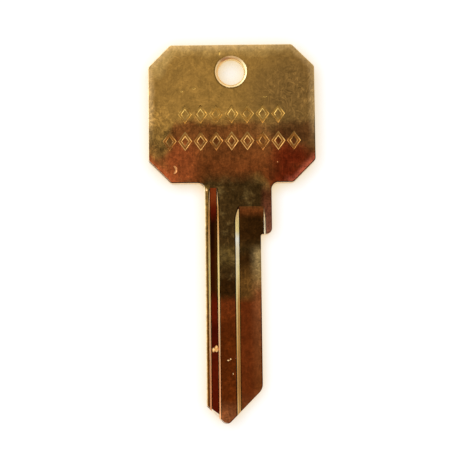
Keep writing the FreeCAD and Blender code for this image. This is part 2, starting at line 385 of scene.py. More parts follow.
def tarnish_clouds():
    """Cloudy tarnish at three sizes and the upright grain of the rolled strip, each about 0.5."""
    outputs = {name: "Float" for name in ("Broad", "Fine", "Grain", "Rolled")}
    group, _, out = new_group("Tarnish clouds", {}, outputs)
    place = millimetres(group)[0]
    give(group, out.inputs["Broad"], noise(group, place, 0.32, 3.0, 0.55))
    give(group, out.inputs["Fine"], noise(group, place, 1.5, 4.0, 0.6, seed=5.0))
    give(group, out.inputs["Grain"], noise(group, place, 5.5, 3.0, 0.6, seed=9.0))
    drawn = add(group, "VectorMath", place, (3.2, 0.45, 1.0), operation="MULTIPLY").outputs[0]
    give(group, out.inputs["Rolled"], noise(group, drawn, 1.0, 2.0, 0.6, seed=14.0))
    return group


def cut_depth():
    """A milled cut's depth along the key, and where its floor points on the cutter's curve."""
    inputs = {name: "Float" for name in ("Along", "Start", "Radius", "Deep")}
    group, given, out = new_group("Cut depth", inputs, {"Depth": "Float", "Pointing": "Vector"})
    along, start, radius, deep = given.outputs[:4]
    twice = times(group, radius, deep, 2.0)
    reach = maths(group, "SQRT", minus(group, twice, times(group, deep, deep)))
    past = minus(group, along, minus(group, start, reach))
    past = maths(group, "MINIMUM", maths(group, "MAXIMUM", past, 0.0), reach)
    drop = maths(group, "SQRT", minus(group, times(group, radius, radius), times(group, past, past)))
    depth = minus(group, deep, minus(group, radius, drop))
    give(group, out.inputs["Depth"], depth)
    lean = times(group, maths(group, "DIVIDE", past, radius), -1.0)
    pointing = add(group, "CombineXYZ", 0.0, lean, maths(group, "DIVIDE", drop, radius))
    give(group, out.inputs["Pointing"], pointing.outputs[0])
    return group


def grime_line():
    """A thin ragged dark line beside a milled edge, from the start of the cut to the tip."""
    inputs = {name: "Float" for name in ("Across", "Along", "Edge", "Start", "Width")}
    group, given, out = new_group("Grime line", inputs, {"Line": "Float"})
    across, along, edge, start, width = given.outputs[:5]
    place = millimetres(group)[0]
    ragged = times(group, width, plus(group, 0.5, noise(group, place, 1.8, 2.0)))
    away = apart(group, across, edge)
    line = span(group, away, times(group, ragged, 0.4), ragged, 1.0, 0.0)
    begun = span(group, minus(group, start, along), -0.1, 0.2)
    give(group, out.inputs["Line"], times(group, line, begun))
    return group


def outline_wear():
    """How near the bow's outline a place lies, from 1 on the outline to 0 at the given reach."""
    group, given, out = new_group("Outline wear", {"Reach": "Float"}, {"Wear": "Float"})
    place, across, along, _ = millimetres(group)
    middle = BOW_BASE + BOW_HEIGHT / 2
    out_across = maths(group, "ABSOLUTE", across)
    out_along = apart(group, along, middle)
    corner = BOW_HALF_WIDTH + BOW_HEIGHT / 2 - BOW_CLIP
    to_side = minus(group, BOW_HALF_WIDTH, out_across)
    to_end = minus(group, BOW_HEIGHT / 2, out_along)
    to_corner = times(group, minus(group, corner, plus(group, out_across, out_along)),
                      math.sqrt(0.5))
    at_neck = times(group, span(group, out_across, 4.6, 6.0, 1.0, 0.0), span(group, along, 12.0, 11.0))
    to_end = plus(group, to_end, times(group, at_neck, 9.0))
    away = maths(group, "MINIMUM", maths(group, "MINIMUM", to_side, to_end), to_corner)
    ragged = times(group, given.outputs["Reach"], plus(group, 0.55, noise(group, place, 0.8, 3.0)))
    on_bow = span(group, along, BOW_BASE - 0.6, BOW_BASE + 0.4)
    give(group, out.inputs["Wear"], times(group, span(group, away, 0.0, ragged, 1.0, 0.0), on_bow))
    return group


# Finishes

def finish(name, metal=1.0):
    """A new metal material, with its tree and its shader. With less metal it looks rubbed rough."""
    material = bpy.data.materials.new(name)
    material.use_nodes = True
    shader = material.node_tree.nodes["Principled BSDF"]
    shader.inputs["Metallic"].default_value = metal
    return material, material.node_tree, shader


# How strongly the clouds, the scratches and the fine relief show.
CLOUD_STRENGTHS = (("Broad", 0.1), ("Fine", 0.13), ("Grain", 0.09), ("Rolled", 0.06))
SCRATCH_STRENGTH = 0.22
DARK_SCRATCHES = 0.6
RELIEF_STRENGTH = 0.35
RELIEF_HEIGHT = 0.012
RELIEF_OF_SCRATCHES = 0.4


def weather(tree, shader, colour, groups, strength=1.0, scratches=1.0, gloss=(0.26, 0.42), normal=None):
    """Mottles and scratches a colour, with the same marks in the roughness and the bump."""
    clouds = use(tree, groups["clouds"])
    marks = use(tree, groups["marks"])
    shade = 1.0
    for name, reach in CLOUD_STRENGTHS:
        shade = times(tree, shade, span(tree, clouds[name], 0.3, 0.7, 1 - reach, 1 + reach))
    shade = maths(tree, "POWER", shade, strength)
    marked = minus(tree, marks["Bright"], times(tree, marks["Dark"], DARK_SCRATCHES))
    scratched = times(tree, marked, SCRATCH_STRENGTH, times(tree, strength, scratches))
    shade = times(tree, shade, plus(tree, 1.0, scratched))
    shaded = add(tree, "VectorMath", colour, operation="SCALE")
    give(tree, shaded.inputs["Scale"], shade)
    give(tree, shader.inputs["Base Color"], shaded.outputs["Vector"])
    give(tree, shader.inputs["Roughness"], span(tree, clouds["Fine"], 0.25, 0.75, gloss[0], gloss[1]))
    height = maths(tree, "MULTIPLY_ADD", marked, RELIEF_OF_SCRATCHES, clouds["Grain"])
    bump = add(tree, "Bump")
    bump.inputs["Strength"].default_value = RELIEF_STRENGTH
    bump.inputs["Distance"].default_value = RELIEF_HEIGHT * MM
    give(tree, bump.inputs["Height"], height)
    give(tree, bump.inputs["Normal"], normal)
    give(tree, shader.inputs["Normal"], bump.outputs["Normal"])


def wavering(tree, along, reach, scale=0.45, seed=2.0):
    """The place along the key pushed to and fro, so that tints meet in a ragged line."""
    place = millimetres(tree)[0]
    push = minus(tree, noise(tree, place, scale, 4.0, 0.6, seed), 0.5)
    return maths(tree, "MULTIPLY_ADD", push, reach, along)


def shape_of_cut(tree, groups, along, cut):
    """The depth of a milled cut and the way its floor points, at a place along the key."""
    return use(tree, groups["depth"], Along=along, Start=cut["start"], Radius=cut["radius"], Deep=cut["deep"])


def cut_edges(tree, groups, across, along, cut, on_floor):
    """The dark lines along a milled cut's two walls, where they meet the face or the floor."""
    depth = shape_of_cut(tree, groups, along, cut)["Depth"]
    lines = []
    for foot, lean, width, side in zip(cut["floor"], cut["walls"], cut["grime"], (-1, 1)):
        outward = 0.0 if on_floor else side * math.tan(math.radians(lean))
        edge = maths(tree, "MULTIPLY_ADD", depth, outward, foot)
        line = use(tree, groups["grime"], Across=across, Along=along, Edge=edge, Start=cut["start"],
                   Width=width)
        lines.append(line["Line"])
    return highest(tree, *lines)


def floor_normal(tree, groups, along, cut, facing=1.0):
    """The smooth normal of a cut's floor, curved where the cutter ran out; facing is -1 on the back."""
    pointing = shape_of_cut(tree, groups, along, cut)["Pointing"]
    turned = add(tree, "VectorMath", pointing, (1.0, 1.0, facing), operation="MULTIPLY").outputs[0]
    return add(tree, "VectorTransform", turned, vector_type="NORMAL", convert_from="OBJECT",
               convert_to="WORLD").outputs[0]


# Stains on the front, laid like its bands as tarnish and painted reflection: each one's middle, its reach,
# its tint and its strength.
STAINS = (
    ((12.0, 20.0), (12.0, 11.0), (116, 86, 44), 0.85),
    ((-11.2, 15.0), (2.6, 4.6), BRONZE, 0.7),
    ((-10.2, 16.6), (1.5, 1.5), OLIVE, 0.5),
    ((-9.0, 11.6), (5.0, 3.4), BRICK, 0.6),
    ((-9.8, 8.6), (3.4, 2.2), BRICK, 0.7),
    ((7.4, 13.4), (2.0, 2.4), RUST, 0.6),
    ((9.2, 10.6), (4.6, 4.4), OXBLOOD, 0.9),
    ((10.4, 15.2), (5.4, 2.0), (80, 46, 20), 0.85),
    ((4.8, 8.4), (2.2, 1.4), BRONZE, 0.4),
)
OLIVE_SPOTS = (104, 82, 44)
HOLE_DIRT = (96, 70, 26)
WORN_LEFT_CORNER = (164, 80, 42)
WORN_RIGHT_CORNER = (186, 92, 66)


def front_tarnish_and_reflection(groups):
    """The front: bands of tarnish and painted reflection, gold at the top of the bow, copper red below it,
    dark at the neck, red at the tip.
    """
    material, tree, shader = finish("front tarnish and painted reflection")
    _, across, along, _ = millimetres(tree)
    # The gold reaches lower down at the left edge of the bow than in its middle, and the dark of
    # the neck reaches less high beside the neck than in line with the blade.
    lean = times(tree, span(tree, across, -8.0, -11.4, 0.0, 3.6), span(tree, along, 9.0, 13.0))
    off_middle = maths(tree, "ABSOLUTE", across)
    beside = times(tree, span(tree, off_middle, 3.6, 6.4, 0.0, 2.6), span(tree, along, 11.5, 9.5))
    settle = plus(tree, plus(tree, lean, beside), wavering(tree, along, 2.6))
    colour = ramp(tree, settle, (
        (28.2, LIGHT_GOLD), (26.6, GOLD), (17.5, GOLD), (16.3, LEATHER), (9.8, RUSSET), (7.4, UMBER),
        (-1.5, UMBER), (-3.4, OLIVE), (-5.8, UMBER), (-7.4, PITCH), (-9.2, PITCH), (-10.3, RED_BROWN),
        (-16.0, CHESTNUT), (-25.2, CHESTNUT), (-27.6, COPPER),
    ))
    for centre, size, tint, share in STAINS:
        stained = times(tree, patch(tree, across, settle, centre, size), share)
        colour = tinted(tree, stained, colour, tint)
    # Spots of olive in the dark part of the blade, and reddish metal on the shoulder.
    spots = span(tree, noise(tree, millimetres(tree)[0], 0.75, 4.0, 0.65, seed=21.0), 0.48, 0.66)
    dark_part = times(tree, span(tree, along, 9.0, 7.0), span(tree, along, -8.5, -7.0))
    colour = tinted(tree, times(tree, spots, dark_part, 0.5), colour, OLIVE_SPOTS)
    shoulder = times(tree, span(tree, across, 4.0, 4.9), span(tree, along, 8.0, 5.6))
    reddish = ramp(tree, along, ((5.4, PLUM), (3.6, ROSEWOOD), (1.2, ROSE_BROWN)))
    colour = blend(tree, times(tree, shoulder, 0.9), colour, reddish)
    # The narrow lip beside the groove is rubbed clean, and made paler still as a painted reflection.
    lip = times(tree, span(tree, across, -3.3, -3.62), span(tree, along, 7.4, 6.4))
    lip_outside = ramp(tree, wavering(tree, along, 2.0), (
        (6.4, BRIGHT_GOLD), (0.0, PALE_BRASS), (-8.0, (246, 208, 132)), (-23.0, HONEY),
    ))
    lip_inside = ramp(tree, wavering(tree, along, 2.0), ((0.0, BRONZE), (-18.0, NUT_BROWN)))
    inner = span(tree, across, -4.12, -3.98)
    colour = blend(tree, lip, colour, blend(tree, inner, lip_outside, lip_inside))
    # Dirt has settled in a thin line round the ring hole, most of all at its lower left.
    from_hole = add(tree, "VectorMath", add(tree, "CombineXYZ", across, along, 0.0).outputs[0],
                    (0.0, HOLE_ALONG, 0.0), operation="SUBTRACT").outputs[0]
    radius = add(tree, "VectorMath", from_hole, operation="LENGTH").outputs["Value"]
    ring = span(tree, apart(tree, radius, RIM_REACH), 0.04, 0.16, 1.0, 0.0)
    lower_left = span(tree, plus(tree, across, minus(tree, along, HOLE_ALONG)), 1.5, -2.0, 0.15, 0.8)
    colour = tinted(tree, times(tree, ring, lower_left), colour, HOLE_DIRT)
    # The outline of the bow is worn paler; the band is made strongest at the top and the left, the sides
    # towards the lamp and the window, which is painted light. The two lower corners are worn to an orange
    # strip.
    wear = use(tree, groups["wear"], Reach=1.15)["Wear"]
    side = span(tree, across, -6.0, 10.0, 1.0, 0.62)
    height = span(tree, along, 12.0, 19.0)
    colour = tinted(tree, times(tree, wear, side, height, 0.75), colour, PALE_BRASS)
    orange = blend(tree, span(tree, across, -2.0, 2.0), tone(WORN_LEFT_CORNER), tone(WORN_RIGHT_CORNER))
    corner = times(tree, span(tree, off_middle, 7.4, 9.6), span(tree, along, 12.4, 11.0))
    colour = blend(tree, times(tree, wear, corner, 0.75), colour, orange)
    dark = highest(tree, cut_edges(tree, groups, across, along, NARROW_GROOVE, on_floor=False),
                   cut_edges(tree, groups, across, along, WIDE_STEP, on_floor=False))
    colour = tinted(tree, dark, colour, SOOT)
    # The tarnish is blotchier in the dark and red parts, and scratched most at the right of the bow.
    blotchy = span(tree, settle, 18.5, 16.0, 1.0, 2.2)
    red_part = span(tree, along, -8.0, -11.0, 0.0, 0.6)
    right_side = patch(tree, across, along, (9.4, 21.2), (5.4, 4.6))
    left_edge = patch(tree, across, along, (-11.4, 15.4), (3.4, 5.4))
    strength = maths(tree, "MULTIPLY_ADD", left_edge, 1.2, minus(tree, blotchy, red_part))
    low_on_bow = times(tree, span(tree, settle, 17.0, 15.0, 0.0, 0.45), span(tree, along, 7.0, 9.0))
    scratches = maths(tree, "MULTIPLY_ADD", right_side, 1.5, minus(tree, 0.9, low_on_bow))
    weather(tree, shader, colour, groups, strength, scratches)
    return material


def tarnished_back(groups):
    """The back: an even bronze, darker towards the tip."""
    material, tree, shader = finish("tarnished back")
    _, across, along, _ = millimetres(tree)
    colour = ramp(tree, wavering(tree, along, 4.0), (
        (28.0, GOLD), (14.0, BRONZE), (4.0, LEATHER), (-10.0, RUSSET), (-28.0, LEATHER),
    ))
    wear = use(tree, groups["wear"], Reach=1.1)["Wear"]
    colour = tinted(tree, times(tree, wear, 0.6), colour, PALE_BRASS)
    dark = cut_edges(tree, groups, across, along, BACK_GROOVE, on_floor=False)
    colour = tinted(tree, dark, colour, SOOT)
    weather(tree, shader, colour, groups)
    return material


# Tints of single places in the cuts.
STEP_EDGE_SHADE = (60, 20, 6)
OFF_SPINE = (70, 37, 5)
BEVEL_HIGHLIGHT = (255, 234, 204)
WALL_SEAM = (104, 74, 34)
SHOULDER_BRINK = (78, 38, 24)


def step_floor(groups):
    """The floor of the wide step, in bands of tarnish and painted reflection: dark to half way, then red, and
    paler beside the bitting edge.
    """
    material, tree, shader = finish("wide step floor")
    _, across, along, _ = millimetres(tree)
    colour = ramp(tree, wavering(tree, along, 1.1), (
        (3.8, LEATHER), (3.3, RUSSET), (2.1, PITCH), (-0.8, PITCH), (-2.4, UMBER), (-4.0, PITCH),
        (-7.6, BARK), (-9.6, BARK), (-10.7, RED_BROWN), (-24.0, RED_BROWN), (-28.0, SADDLE),
    ))
    side = span(tree, across, 2.2, 4.1)
    rubbed = ramp(tree, wavering(tree, along, 1.4, seed=4.0), (
        (-1.5, UMBER), (-3.1, DULL_BRASS), (-4.6, DULL_BRASS), (-7.0, TAN), (-9.4, SADDLE),
        (-12.0, COPPER), (-14.0, SADDLE), (-23.4, RUSSET), (-25.4, COPPER),
    ))
    level = span(tree, along, -0.6, -3.2, 0.0, 0.95)
    colour = blend(tree, times(tree, side, level), colour, rubbed)
    # Painted shade: a dark line along the rounding of the bitting edge, in the red part of the blade.
    brink = span(tree, minus(tree, BITTING_EDGE, across), 0.12, 0.22, 0.8, 0.0)
    below = span(tree, along, -9.0, -11.0)
    colour = tinted(tree, times(tree, brink, below), colour, STEP_EDGE_SHADE)
    feet = cut_edges(tree, groups, across, along, WIDE_STEP, on_floor=True)
    colour = tinted(tree, feet, colour, SOOT)
    strength = span(tree, along, -8.5, -11.0, 2.0, 1.3)
    weather(tree, shader, colour, groups, strength, 0.7, normal=floor_normal(tree, groups, along, WIDE_STEP))
    return material


def groove_floor(groups, name, cut, facing=1.0):
    """The floor of a narrow groove, in bands of tarnish and painted reflection: red where the cutter ran out,
    then black with grime and painted shade, then red.
    """
    material, tree, shader = finish(name)
    _, across, along, _ = millimetres(tree)
    colour = ramp(tree, wavering(tree, along, 1.0), (
        (5.2, RUST), (3.5, OXBLOOD), (1.4, BLACK_RED), (-2.4, BLACK_RED), (-3.6, MAROON), (-8.8, MAROON),
        (-10.7, OXBLOOD), (-12.8, OXBLOOD), (-14.8, DEEP_RED), (-17.0, DEEP_RED), (-18.8, OXBLOOD),
    ))
    away_from_spine = times(tree, span(tree, across, cut["floor"][1] - 0.7, cut["floor"][1] - 0.1),
                            span(tree, along, 2.6, 0.0), span(tree, along, -10.0, -8.0), 0.8)
    colour = tinted(tree, away_from_spine, colour, OFF_SPINE)
    feet = cut_edges(tree, groups, across, along, cut, on_floor=True)
    colour = tinted(tree, feet, colour, SOOT)
    # A painted highlight: the end is cream along the bevel of the tip, more widely away from the spine.
    from_bevel = times(tree, minus(tree, plus(tree, across, along), SPINE_BEVEL), math.sqrt(0.5))
    reach = span(tree, across, -3.5, -2.2, 0.24, 0.42)
    end = maths(tree, "LESS_THAN", from_bevel, reach)
    colour = tinted(tree, end, colour, BEVEL_HIGHLIGHT)
    weather(tree, shader, colour, groups, 0.8, normal=floor_normal(tree, groups, along, cut, facing))
    return material


def step_wall(groups):
    """The wide step's sloped wall: pale from rubbing and from painted reflection, with a painted white
    highlight near the middle of the key, in two strips lower down.
    """
    material, tree, shader = finish("wide step wall", METAL_OF_WALLS)
    _, across, along, up = millimetres(tree)
    wall_top = WIDE_STEP["floor"][0] - WIDE_STEP["deep"] * math.tan(math.radians(WIDE_STEP["walls"][0]))
    middle = (wall_top + WIDE_STEP["floor"][0]) / 2
    wander = times(tree, minus(tree, noise(tree, millimetres(tree)[0], 0.5), 0.5), 0.25)
    split = minus(tree, plus(tree, across, wander), middle)
    # Both strips carry a painted white highlight a little towards the tip from the middle of the key.
    outer = ramp(tree, wavering(tree, along, 1.0, 1.2), (
        (3.6, HONEY), (1.2, STRAW), (0.2, STRAW), (-0.9, WHITE_HIGHLIGHT), (-2.6, CREAM), (-9.0, STRAW),
        (-17.0, AMBER), (-22.5, OCHRE), (-28.0, AMBER),
    ))
    inner = ramp(tree, wavering(tree, along, 1.0, 1.2), (
        (3.6, HONEY), (1.2, STRAW), (0.2, STRAW), (-0.9, WHITE_HIGHLIGHT), (-2.6, CREAM), (-6.0, STRAW),
        (-10.6, OCHRE), (-22.5, DARK_OCHRE), (-28.0, OCHRE),
    ))
    colour = blend(tree, span(tree, split, -0.06, 0.06), outer, inner)
    brink = span(tree, up, FACE - 0.09, FACE - 0.05, 0.0, 0.85)
    colour = tinted(tree, brink, colour, SOOT)
    lower = span(tree, along, -9.0, -11.0)
    seam = span(tree, maths(tree, "ABSOLUTE", split), 0.02, 0.09, 0.5, 0.0)
    colour = tinted(tree, times(tree, seam, lower), colour, WALL_SEAM)
    weather(tree, shader, colour, groups, strength=0.3, gloss=(0.32, 0.4))
    return material


def shoulder_wall(groups):
    """The wide step's steep wall in the shoulder: a cream line, rubbed metal and painted reflection, below a
    dirty brink.
    """
    material, tree, shader = finish("shoulder wall", METAL_OF_WALLS)
    _, _, along, up = millimetres(tree)
    colour = ramp(tree, wavering(tree, along, 0.8, 1.4), ((3.8, HONEY), (0.8, CREAM), (-0.4, CREAM)))
    brink = span(tree, up, FACE - 0.32, FACE - 0.18, 0.0, 0.85)
    colour = tinted(tree, brink, colour, SHOULDER_BRINK)
    weather(tree, shader, colour, groups, strength=0.25, gloss=(0.4, 0.5))
    return material


def groove_wall(groups, name):
    """A narrow groove's wall, rubbed bright below the neck and paler still as painted reflection."""
    material, tree, shader = finish(name, METAL_OF_WALLS)
    along = millimetres(tree)[2]
    colour = ramp(tree, wavering(tree, along, 1.0, 1.2), (
        (6.8, PEACH), (4.4, HONEY), (2.4, OCHRE), (0.0, HONEY), (-4.2, STRAW), (-9.0, STRAW),
        (-14.0, PEACH), (-22.5, APRICOT),
    ))
    weather(tree, shader, colour, groups, strength=0.25, gloss=(0.45, 0.55))
    return material


def rounded_edge(groups):
    """The tumbled rounding of the outline: a painted cream highlight where it faces the spine and the top,
    painted shade in dark tints elsewhere.
    """
    material, tree, shader = finish("rounded edge")
    _, across, along, _ = millimetres(tree)
    facing = add(tree, "SeparateXYZ", add(tree, "TexCoord").outputs["Normal"]).outputs
    colour = ramp(tree, wavering(tree, along, 2.0), (
        (28.6, PALE_BRASS), (18.5, LIGHT_GOLD), (16.5, OLIVE), (11.0, PITCH), (7.6, PITCH),
        (4.6, ROSEWOOD), (-0.5, ROSEWOOD), (-4.0, BRONZE), (-9.0, BARK), (-11.0, CHESTNUT),
    ))
    # Painted highlight: cream where the rounding faces left or up, towards the lamp and the window, except
    # where it faces down on the bow.
    bright = highest(tree, span(tree, facing[0], -0.05, -0.3), span(tree, facing[1], 0.2, 0.5))
    below = times(tree, span(tree, facing[1], -0.2, -0.45), span(tree, along, 14.0, 12.0))
    bright = times(tree, bright, minus(tree, 1.0, below))
    colour = tinted(tree, times(tree, bright, 0.9), colour, CREAM)
    weather(tree, shader, colour, groups, strength=0.4)
    return material


# Tints of the ring hole's rim.
RIM_LEFT = (255, 214, 152)
RIM_RIGHT = (255, 238, 184)
RIM_TOP = (206, 156, 104)
RIM_STAIN = (150, 96, 66)
RIM_WORN = (196, 150, 92)


def ring_hole_rim(groups):
    """The rounded rim of the ring hole, rubbed bright with a painted highlight: peach at the left, cream at
    the right.
    """
    material, tree, shader = finish("ring hole rim")
    place, across, along, _ = millimetres(tree)
    colour = blend(tree, span(tree, across, -1.6, 1.8), tone(RIM_LEFT), tone(RIM_RIGHT))
    top = span(tree, minus(tree, along, HOLE_ALONG), 0.9, 2.2, 0.0, 0.75)
    colour = tinted(tree, top, colour, RIM_TOP)
    stain = patch(tree, across, along, (-0.9, HOLE_ALONG + 1.9), (1.2, 0.6))
    colour = tinted(tree, times(tree, stain, 0.6), colour, RIM_STAIN)
    worn = span(tree, noise(tree, place, 1.6, 3.0, 0.6, seed=17.0), 0.35, 0.6, 0.25, 0.0)
    colour = tinted(tree, worn, colour, RIM_WORN)
    weather(tree, shader, colour, groups, strength=0.4, gloss=(0.3, 0.4))
    return material


# Tints of the punched side.
DRAG_LINES = (176, 128, 72)
TORN_METAL = (150, 108, 62)


def punched_side(groups):
    """The punched side: bright burnished brass with upright drag lines, torn dull near the back."""
    material, tree, shader = finish("punched side")
    place, _, along, up = millimetres(tree)
    colour = ramp(tree, wavering(tree, along, 2.0), ((28.6, STRAW), (12.0, PEACH), (-28.0, PEACH)))
    stretched = add(tree, "VectorMath", place, (5.0, 5.0, 0.4), operation="MULTIPLY")
    drag = span(tree, noise(tree, stretched.outputs[0], 1.0, 2.0, 0.6, seed=12.0), 0.38, 0.7)
    colour = tinted(tree, times(tree, drag, 0.3), colour, DRAG_LINES)
    torn = span(tree, maths(tree, "MULTIPLY_ADD", drag, 0.25, up), 0.45, 0.7, 0.55, 0.0)
    colour = tinted(tree, torn, colour, TORN_METAL)
    weather(tree, shader, colour, groups, strength=0.3, gloss=(0.3, 0.45))
    return material


# Tints of the struck metal, each with its place along the key: the flanks, then the level bottoms.
STRUCK_FLANKS = (
    (20.0, (240, 200, 108)), (15.5, (244, 196, 112)), (12.0, (240, 180, 104)), (10.8, (208, 144, 88)),
    (8.6, (208, 144, 88)), (6.6, (236, 196, 136)), (-28.0, (250, 206, 146)),
)
STRUCK_BOTTOMS = ((18.0, (158, 118, 54)), (15.0, (142, 92, 40)), (12.0, (132, 76, 34)))
MARK_DIRT = (104, 66, 26)
MARK_SHADE = (78, 48, 18)


def struck_metal(groups):
    """Bright metal on the walls of the struck marks and in fresh dents, partly painted highlight, patchy with
    old dirt.
    """
    material, tree, shader = finish("struck metal")
    place, _, along, _ = millimetres(tree)
    colour = ramp(tree, wavering(tree, along, 2.0), STRUCK_FLANKS)
    # In the struck marks the level bottoms are duller, and the flanks that face down the key are darkened as
    # painted shade.
    facing = add(tree, "SeparateXYZ", add(tree, "TexCoord").outputs["Normal"]).outputs
    in_marks = span(tree, along, 11.5, 12.5)
    bottom = ramp(tree, wavering(tree, along, 2.0), STRUCK_BOTTOMS)
    colour = blend(tree, times(tree, span(tree, facing[2], 0.95, 0.99), in_marks), colour, bottom)
    dirt = span(tree, noise(tree, place, 1.0, 3.0, 0.6, seed=7.0), 0.47, 0.62)
    colour = tinted(tree, times(tree, dirt, in_marks, 0.4), colour, MARK_DIRT)
    shaded = span(tree, facing[1], -0.05, -0.3, 0.0, 0.6)
    colour = tinted(tree, times(tree, shaded, in_marks), colour, MARK_SHADE)
    weather(tree, shader, colour, groups, strength=0.4, gloss=(0.24, 0.34))
    return material


CRUMB_BRIGHT = (255, 224, 160)
CRUMB_DULL = (226, 168, 92)
METAL_OF_CRUMBS = 0.5


def pressed_crumb(groups):
    """The bright gold of the crumbs pressed into the groove."""
    material, tree, shader = finish("pressed crumb", METAL_OF_CRUMBS)
    place = millimetres(tree)[0]
    patchy = span(tree, noise(tree, place, 2.2, 2.0, 0.6, seed=19.0), 0.4, 0.6)
    colour = blend(tree, patchy, tone(CRUMB_BRIGHT), tone(CRUMB_DULL))
    weather(tree, shader, colour, groups, strength=0.5, gloss=(0.35, 0.45))
    return material


# Modelling helpers

def deselect_all():
    bpy.ops.object.select_all(action="DESELECT")


def make_active(piece):
    deselect_all()
    piece.select_set(True)
    bpy.context.view_layer.objects.active = piece


def settle_place(piece):
    """Puts the piece's place, turn and size into its mesh."""
    make_active(piece)
    bpy.ops.object.transform_apply(location=True, rotation=True, scale=True)


def join(pieces):
    """Several pieces made one."""
    deselect_all()
    for piece in pieces:
        piece.select_set(True)
    bpy.context.view_layer.objects.active = pieces[0]
    bpy.ops.object.join()
    return pieces[0]


def apply_modifier(piece, kind, **settings):
    """Adds a modifier to the piece and applies it."""
    modifier = piece.modifiers.new(kind.lower(), kind)
    for name, value in settings.items():
        setattr(modifier, name, value)
    make_active(piece)
    bpy.ops.object.modifier_apply(modifier=modifier.name)


def strike(piece, tool, operation="DIFFERENCE"):
    """Cuts a tool's shape out of the piece, or adds it, and takes the tool away."""
    apply_modifier(piece, "BOOLEAN", operation=operation, solver="EXACT", object=tool)
    bpy.data.objects.remove(tool)


def lozenge_punch(x, y):
    """The raised outline of one lozenge on the die, flat at its crest, with sloped flanks."""
    deselect_all()
    bpy.ops.mesh.primitive_torus_add(
        major_segments=4, minor_segments=6, major_radius=LOZENGE_RADIUS * MM,
        minor_radius=STROKE_RADIUS * MM, location=(x * MM, y * MM, (FACE + STROKE_LIFT) * MM))
    punch = bpy.context.active_object
    punch.scale = (1.0, LOZENGE_TALLER, STROKE_FLATTER)
    settle_place(punch)
    return punch


def striking_die():
    """The die that struck the bow: two rows of lozenges."""
    punches = []
    for row, count in LOZENGE_ROWS:
        for number in range(count):
            punches.append(lozenge_punch((number - (count - 1) / 2) * LOZENGE_PITCH, row))
    return join(punches)


def pebble(place, size):
    """A smooth oval tool for a dent or a crumb."""
    deselect_all()
    bpy.ops.mesh.primitive_uv_sphere_add(segments=16, ring_count=10, radius=MM)
    tool = bpy.context.active_object
    tool.scale = size
    tool.location = [part * MM for part in place]
    settle_place(tool)
    return tool


def dents():
    """All the small dents of the face as one tool."""
    return join([pebble((*place, FACE), size) for place, size in DENTS])


def crescent_dent():
    """The curved dent at the lower left of the bow, struck by the rim of something round."""
    deselect_all()
    bpy.ops.mesh.primitive_torus_add(
        major_segments=32, minor_segments=12, major_radius=CRESCENT_RADIUS * MM,
        minor_radius=CRESCENT_ROUND * MM, location=[part * MM for part in CRESCENT],
        rotation=(0.0, math.radians(CRESCENT_TILT), 0.0))
    tool = bpy.context.active_object
    settle_place(tool)
    return tool


def crumbs():
    """Two crumbs of brass pressed into the narrow groove, as two tools."""
    floor = FACE - NARROW_GROOVE["deep"]
    return [pebble((across, along, floor + up), size) for (across, along, up), size in CRUMBS]


def at_ring_hole(centre):
    return math.hypot(centre.x, centre.y - HOLE_ALONG) < RIM_REACH


def struck_into_face(centre, up):
    """Whether a face belongs to a mark or a dent, and so lies a little below the front."""
    if up < IN_DENT or not DENT_DEPTHS[0] < FACE - centre.z < DENT_DEPTHS[1]:
        return False
    from_middle = abs(centre.y - BOW_BASE - BOW_HEIGHT / 2)
    corner = BOW_HALF_WIDTH + BOW_HEIGHT / 2 - BOW_CLIP
    on_bow = (abs(centre.x) < BOW_HALF_WIDTH - EDGE_KEPT and from_middle < BOW_HEIGHT / 2 - EDGE_KEPT
              and abs(centre.x) + from_middle < corner - EDGE_KEPT)
    on_land = LAND[0] < centre.x < LAND[1] and TIP + TIP_KEPT < centre.y < BOW_BASE
    on_lip = LIP[0] < centre.x < LIP[1] and LIP_FROM < centre.y < BOW_BASE
    return (on_bow or on_land or on_lip) and not at_ring_hole(centre)


def part_of_key(polygon):
    """Which finish a face takes, by where it lies and where it points."""
    centre = polygon.center / MM
    up = polygon.normal.z
    facing_along = abs(polygon.normal.y)
    in_cuts = centre.y < BOW_BASE and CUTS[0] < centre.x < CUTS[1]
    if abs(up) > LEVEL and (centre.z > FACE - NEAR_FACE or centre.z < NEAR_FACE):
        return "front" if up > 0 else "back"
    if struck_into_face(centre, up):
        return "struck"
    if up > UPRIGHT and at_ring_hole(centre):
        return "rim"
    by_crumbs = all(low < part < high for part, (low, high) in zip(centre, AROUND_CRUMBS))
    if by_crumbs and (up > ON_CRUMB or facing_along > CRUMB_TURN):
        return "crumb"
    if in_cuts and up > ON_FLOOR and centre.z > FRONT_CUTS_FROM:
        return "step floor" if centre.x > BETWEEN_CUTS else "groove floor"
    if in_cuts and up < -ON_FLOOR and BACK_CUT[0] < centre.z < BACK_CUT[1]:
        return "back floor"
    if abs(up) < UPRIGHT:
        return "side"
    if in_cuts and facing_along < WALL_TURN:
        if up < 0:
            return "back wall"
        if centre.x > BITTING_EDGE:
            return "shoulder wall"
        return "step wall" if centre.x > 0 else "groove wall"
    return "edge"


